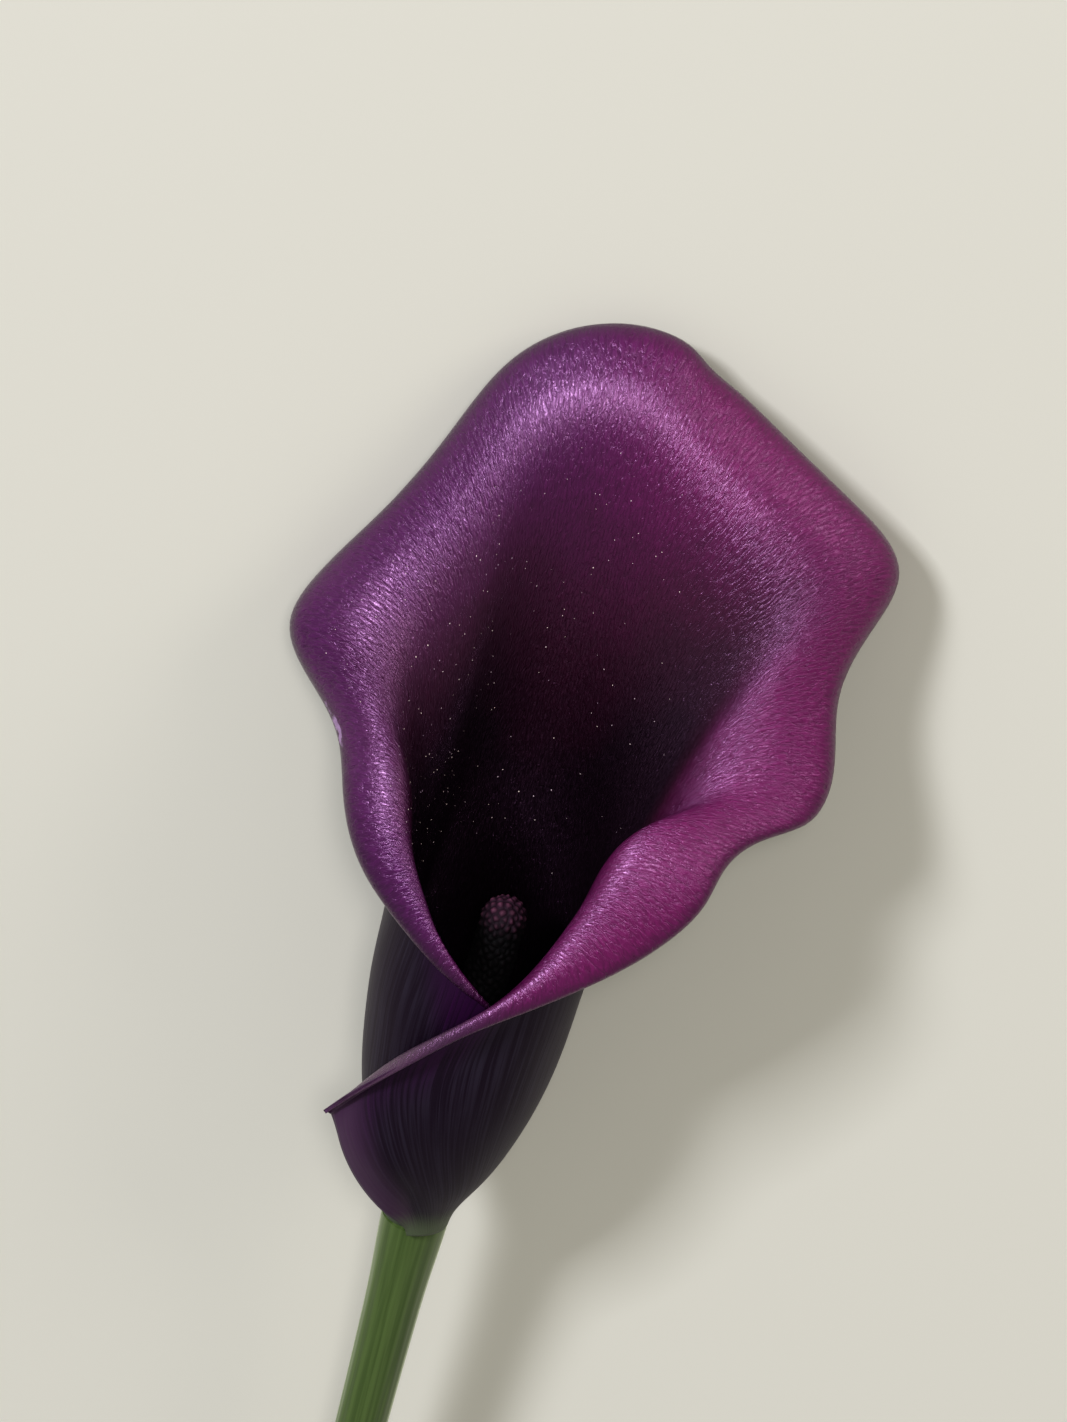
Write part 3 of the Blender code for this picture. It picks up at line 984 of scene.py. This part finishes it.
@dataclass
class Spadix:
    """The spike of packed florets in the throat."""

    # Height and radius, up to where the rounded tip begins.
    profile: tuple = ((0, 2.0), (8, 2.5), (25, 2.9), (44, 2.9))
    lean: tuple = (0.03, -0.02)  # across and back, for each unit of height
    floret: float = 1.08  # across one floret
    floret_height: float = 0.38
    heights: tuple = (0.6, 1.3)  # shortest and tallest floret, against that
    packing: float = 0.87  # of the square round a floret, which it fills
    stray: float = 0.32  # how far a floret may stand from its place in the spiral
    throat_shade_top: float = 42.5  # below this height the spike is painted dark with the throat's shade
    throat_shade_clear: float = 46.5  # and above this one it is out of that painted shade
    dark: float = 0.04  # how light the painted shade leaves the spike below, against its lit top
    sides: int = 150
    rings: int = 300
    seed: int = 4
    skin: FloretSkin = field(default_factory=FloretSkin)

    def outline(self, share: np.ndarray) -> tuple[np.ndarray, np.ndarray]:
        """Finds the smooth spike's outline.

        Args:
            share: From 0 at the middle of the base to 1 at the tip.

        Returns:
            The height and the radius at each share.
        """
        table = np.array(self.profile, float)
        top, tip = table[-1]
        heights = np.linspace(0, top, 60)
        flat = [(0.0, 0.0)]
        side = list(zip(heights, spline(table[:, 0], table[:, 1], heights)))
        turns = np.linspace(0, math.pi / 2, 30)[1:]
        cap = [(top + tip * math.sin(turn), tip * math.cos(turn)) for turn in turns]
        line = np.array(flat + side + cap)
        run = distances(line)
        at = share * run[-1]
        return np.interp(at, run, line[:, 0]), np.interp(at, run, line[:, 1])

    def florets(self) -> np.ndarray:
        """Sets out the florets in one spiral, evenly by area, and returns their middles."""
        share = np.linspace(0, 1, 4000)
        height, radius = self.outline(share)
        run = distances(np.stack([height, radius], axis=1))
        ring = np.diff(run) * 2 * math.pi * (radius[1:] + radius[:-1]) / 2
        area = np.concatenate([[0], np.cumsum(ring)])
        count = int(area[-1] / (self.floret**2 * self.packing))
        draw = np.random.default_rng(self.seed)
        turn = np.arange(count) * math.pi * (3 - math.sqrt(5))
        at = np.interp((np.arange(count) + 0.5) / count * area[-1], area, share)
        at = np.clip(at + draw.uniform(-1, 1, count) * self.stray / run[-1], 0, 1)
        height, radius = self.outline(at)
        turn = turn + draw.uniform(-1, 1, count) * self.stray / np.maximum(radius, self.floret)
        return np.stack([radius * np.cos(turn), height, radius * np.sin(turn)], axis=1)

    def build(self, frame: FlowerFrame) -> Object:
        """Builds the spadix.

        Args:
            frame: Where the flower lies.

        Returns:
            The object.
        """
        bpy.ops.object.select_all(action="DESELECT")
        bpy.ops.mesh.primitive_uv_sphere_add(segments=self.sides, ring_count=self.rings)
        piece = name_primitive("spadix_spike")
        ball = corners(piece)
        share = np.arccos(np.clip(-ball[:, 2], -1, 1)) / math.pi
        turn = np.arctan2(ball[:, 1], ball[:, 0])
        height, radius = self.outline(share)
        smooth = np.stack([radius * np.cos(turn), height, radius * np.sin(turn)], axis=1)

        middles = self.florets()
        tree = KDTree(len(middles))
        for index, middle in enumerate(middles):
            tree.insert(middle, index)
        tree.balance()
        near = [tree.find_n(point, 2) for point in smooth]
        first, second = np.array([[found[2] for found in pair] for pair in near]).T
        owner = np.array([pair[0][1] for pair in near])
        valley = np.clip((second - first) / (self.floret * 0.9), 0, 1)
        dome = np.sqrt(valley) * (1 - 0.25 * first / (self.floret / 2))
        tall = np.random.default_rng(self.seed).uniform(*self.heights, len(middles))[owner]

        # A floret grows straight out of the side, and from the middle of the rounded tip.
        top = self.profile[-1][0]
        rounding = ease(height, top - 1, top + 3)[:, None]
        out = smooth * (1, 0, 1) * (1 - rounding) + (smooth - (0, top, 0)) * rounding
        out /= np.maximum(np.linalg.norm(out, axis=1, keepdims=True), 1e-6)
        grow = (dome * tall - 0.8) * self.floret_height * ease(height, 0, 1)
        grown = smooth + out * grow[:, None]
        across, back = self.lean
        grown = grown + height[:, None] * np.array([across, 0, back])
        move_vertices(piece, frame.lay(grown))
        add_attribute(piece, "dome", dome)
        # Below the tip the spike is painted dark with the throat's shade; taller florets come out
        # lighter.
        lit_share = self.dark + (1 - self.dark) * ease(height, self.throat_shade_top, self.throat_shade_clear)
        add_attribute(piece, "shade", (0.6 + 0.6 * (tall - self.heights[0])) * lit_share)
        piece.data.materials.append(self.skin.make())
        face_outwards()
        finish_piece(piece, "spadix")
        return piece


@dataclass
class Stalk:
    """The flower stalk, down to its plain cut end."""

    gap: float = 0.3  # below the spathe
    # Depth below the spathe, and radius.
    profile: tuple = (
        (0, 4.2), (4, 4.0), (9, 3.7), (17, 3.45), (30, 3.25), (70, 3.2), (130, 3.4), (200, 3.7),
    )
    neck: tuple = ((-1.6, 2.2), (-0.6, 2.9), (-0.3, 3.2), (0, 4.2))  # the part inside the bract
    rind: float = 0.3
    dish: float = 0.1  # how far the pith has sunk below the rind
    straight: float = 30.0  # it keeps to the tube's axis this far down
    bow: float = 5.0  # and its cut end is this far to the left of it
    ribs: int = 17
    rib_height: float = 0.02
    rib_from: float = 12.0  # the ribs are whole from this far down
    uv_turn: float = 0.06  # millimetres round it for each degree
    corner: float = 50.0  # degrees; a sharper edge isn't smoothed
    sides: int = 136
    rings: int = 180
    crowding: float = 1.35  # how much closer the rings stand at the top
    skin: StalkSkin = field(default_factory=StalkSkin)
    pith: CutPith = field(default_factory=CutPith)

    def build(self, frame: FlowerFrame) -> Object:
        """Builds the stalk.

        Args:
            frame: Where the flower lies.

        Returns:
            The object.
        """
        table = np.array(self.profile, float)
        length = table[-1, 0]
        bpy.ops.object.select_all(action="DESELECT")
        bpy.ops.mesh.primitive_cylinder_add(
            vertices=self.sides, radius=1, depth=2, end_fill_type="NGON"
        )
        piece = name_primitive("flower_stalk")
        bpy.ops.object.mode_set(mode="EDIT")
        for level in np.linspace(1, -1, self.rings + 1)[1:-1]:
            bpy.ops.mesh.select_all(action="SELECT")
            bpy.ops.mesh.bisect(plane_co=(0, 0, float(level)), plane_no=(0, 0, 1))
        bpy.ops.object.mode_set(mode="OBJECT")
        rod = corners(piece)
        neck = np.array(self.neck)
        share = ((1 - rod[:, 2]) / 2) ** self.crowding
        depth = neck[0, 0] + (length - neck[0, 0]) * share
        turn = np.arctan2(rod[:, 1], rod[:, 0])
        radius = np.where(
            depth < 0,
            np.interp(depth, neck[:, 0], neck[:, 1]),
            spline(table[:, 0], table[:, 1], np.maximum(depth, 0)),
        )
        radius = radius + self.rib_height * np.cos(self.ribs * turn) * ease(depth, 0, self.rib_from)
        bow = self.bow * (np.maximum(depth - self.straight, 0) / (length - self.straight)) ** 2
        across = radius * np.cos(turn) - bow
        points = np.stack([across, -self.gap - depth, radius * np.sin(turn)], axis=1)
        move_vertices(piece, frame.lay(points))
        add_uv(piece, Coordinate.VEINS, [np.degrees(np.abs(turn)) * self.uv_turn, depth])
        piece.data.materials.append(self.skin.make())
        piece.data.materials.append(self.pith.make())
        face_outwards()
        ends = [face for face in piece.data.polygons if len(face.vertices) > 4]
        min(ends, key=lambda face: face.center.y).select = True
        bpy.ops.object.mode_set(mode="EDIT")
        bpy.context.tool_settings.mesh_select_mode = (False, False, True)
        bpy.ops.mesh.inset(thickness=self.rind * MM, depth=-self.dish * MM)
        bpy.ops.object.mode_set(mode="OBJECT")
        for face in piece.data.polygons:
            if face.select and len(face.vertices) > 4:
                face.material_index = 1
        finish_piece(piece, "stem")
        pick(piece)
        bpy.ops.object.shade_smooth_by_angle(angle=math.radians(self.corner))
        return piece


@dataclass
class Pollen:
    """Loose grains on the walls of the throat."""

    count: int = 260
    sizes: tuple = (0.05, 0.12)
    stretches: tuple = (0.7, 1.6)
    turns: tuple = (-130, 75)  # the part of the wall that has any
    heights: tuple = (45, 104)
    clear_margin: float = 14.0
    thinning: tuple = (75, -40)  # fewer and fewer lie towards the right
    seed: int = 11
    grain: PollenGrain = field(default_factory=PollenGrain)

    def build(self, frame: FlowerFrame, spathe: Spathe) -> Object:
        """Scatters the grains.

        Args:
            frame: Where the flower lies.
            spathe: The bract that they lie in.

        Returns:
            The object that holds all of them.
        """
        points, run, stations, _ = spathe.surface()
        angle = stations[:, 0]
        draw = np.random.default_rng(self.seed)
        bpy.ops.object.select_all(action="DESELECT")
        bpy.ops.mesh.primitive_ico_sphere_add(subdivisions=1, radius=1)
        seedling = bpy.context.object
        shape = corners(seedling)
        faces = np.array([tuple(face.vertices) for face in seedling.data.polygons])
        bpy.data.objects.remove(seedling)
        grains, triangles = [], []
        while len(grains) < self.count:
            column = int(draw.integers(1, spathe.columns - 1))
            row = int(draw.integers(1, spathe.rows - 1))
            spot, turn = points[column, row], angle[column]
            on_wall = self.turns[0] < turn < self.turns[1]
            on_wall = on_wall and self.heights[0] < spot[1] < self.heights[1]
            if not on_wall or run[column, -1] - run[column, row] <= self.clear_margin:
                continue
            if draw.random() > ease(turn, *self.thinning):
                continue
            side = points[column + 1, row] - points[column - 1, row]
            up = points[column, row + 1] - points[column, row - 1]
            inward = unit(np.cross(up, side))
            size = draw.uniform(*self.sizes)
            stretch = draw.uniform(*self.stretches)
            local = shape * size @ np.stack([unit(side), unit(up) * stretch, inward])
            triangles.append(faces + len(grains) * len(shape))
            grains.append(spot + inward * size * 0.6 + local)
        mesh = bpy.data.meshes.new("loose_pollen")
        laid = frame.lay(np.concatenate(grains))
        mesh.from_pydata(laid.tolist(), [], np.concatenate(triangles).tolist())
        piece = bpy.data.objects.new("loose_pollen", mesh)
        bpy.context.scene.collection.objects.link(piece)
        mesh.materials.append(self.grain.make())
        finish_piece(piece, None)
        return piece


# ---- the studio


@dataclass(frozen=True)
class Softbox:
    """One large, soft lamp."""

    name: str
    place: tuple[float, float, float]  # across, up and towards the viewer from the flower's head
    width: float
    power: float
    colour: str


@dataclass
class Studio:
    """The floor, the soft lights and the camera."""

    look_tilt: float = 30.0  # degrees that the viewer stands above the mouth, towards the tip
    look_roll: float = 14.5  # degrees that the flower leans to the right as it is seen
    distance: float = 800.0
    target: tuple = (-1.42, 67.68, -10.2)  # middle of the view, in the flower's frame
    view_height: float = 170.6  # of the plane through the target
    sensor: float = 36.0
    clip: tuple = (0.01, 20.0)  # metres
    floor_size: float = 6.0  # metres
    world_light: float = 0.34
    world_colour: str = "#f4f3ef"
    lamps: tuple = (
        Softbox("key", (-1340.0, 700.0, 2050.0), 0.50, 56.0, "#f0f2ff"),
        Softbox("right_fill", (1340.0, 390.0, 1180.0), 0.80, 7.5, "#fff8f4"),
        Softbox("front", (150.0, 60.0, 2400.0), 0.42, 19.0, "#fdfbff"),
    )
    board: PaleBoard = field(default_factory=PaleBoard)

    def axes(self) -> tuple[Vector, Vector, Vector]:
        """Returns the view's right, up and towards-the-viewer directions in the flower's frame."""
        tilt, roll = math.radians(self.look_tilt), math.radians(self.look_roll)
        towards = Vector((0, math.sin(tilt), math.cos(tilt)))
        upright = Vector((0, math.cos(tilt), -math.sin(tilt)))
        across = Vector((1, 0, 0))
        up = upright * math.cos(roll) - across * math.sin(roll)
        right = across * math.cos(roll) + upright * math.sin(roll)
        return right, up, towards

    def build(self, frame: FlowerFrame) -> None:
        """Sets up the floor, the lights and the camera.

        Args:
            frame: Where the flower lies.
        """
        right, up, towards = self.axes()
        target = Vector(self.target)
        bpy.ops.object.select_all(action="DESELECT")
        bpy.ops.mesh.primitive_plane_add(size=self.floor_size)
        floor = name_primitive("pale_floor")
        floor.data.materials.append(self.board.make())

        turn = Matrix((right, up, towards)).transposed()
        for lamp in self.lamps:
            light = bpy.data.lights.new(lamp.name, "AREA")
            light.energy, light.size, light.color = lamp.power, lamp.width, srgb(lamp.colour)[:3]
            spot = turn @ Vector(lamp.place)
            lamp_frame = spot.to_track_quat("Z", "Y").to_matrix().to_4x4()
            lamp_frame.translation = (target + spot) * MM
            holder = bpy.data.objects.new(lamp.name, light)
            bpy.context.scene.collection.objects.link(holder)
            holder.matrix_world = frame.place @ lamp_frame

        world = bpy.data.worlds.new("studio")
        world.use_nodes = True
        values = {"Color": srgb(self.world_colour), "Strength": self.world_light}
        add_node(world.node_tree, world.node_tree.nodes["Background"], None, values)
        bpy.context.scene.world = world
        bpy.context.scene.view_settings.view_transform = "Standard"
        bpy.context.scene.view_settings.look = "Medium High Contrast"

        lens = bpy.data.cameras.new("camera")
        lens.sensor_width = self.sensor
        lens.lens = self.sensor * self.distance / self.view_height
        lens.clip_start, lens.clip_end = self.clip
        camera = bpy.data.objects.new("camera", lens)
        bpy.context.scene.collection.objects.link(camera)
        stand = turn.to_4x4()
        stand.translation = (target + towards * self.distance) * MM
        camera.matrix_world = frame.place @ stand
        bpy.context.scene.camera = camera


def main() -> None:
    """Builds the studio and the flower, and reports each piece."""
    logging.basicConfig(level=logging.INFO, format="%(name)s: %(message)s")
    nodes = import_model()["nodes"]
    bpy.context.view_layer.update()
    frame = FlowerFrame(nodes["stem"])
    Studio().build(frame)
    spathe = Spathe()
    pieces = [spathe.build(frame), Spadix().build(frame), Stalk().build(frame)]
    pieces.append(Pollen().build(frame, spathe))
    for piece in pieces:
        LOG.info("%s: %d faces", piece.name, len(piece.data.polygons))


if __name__ == "__main__":
    main()
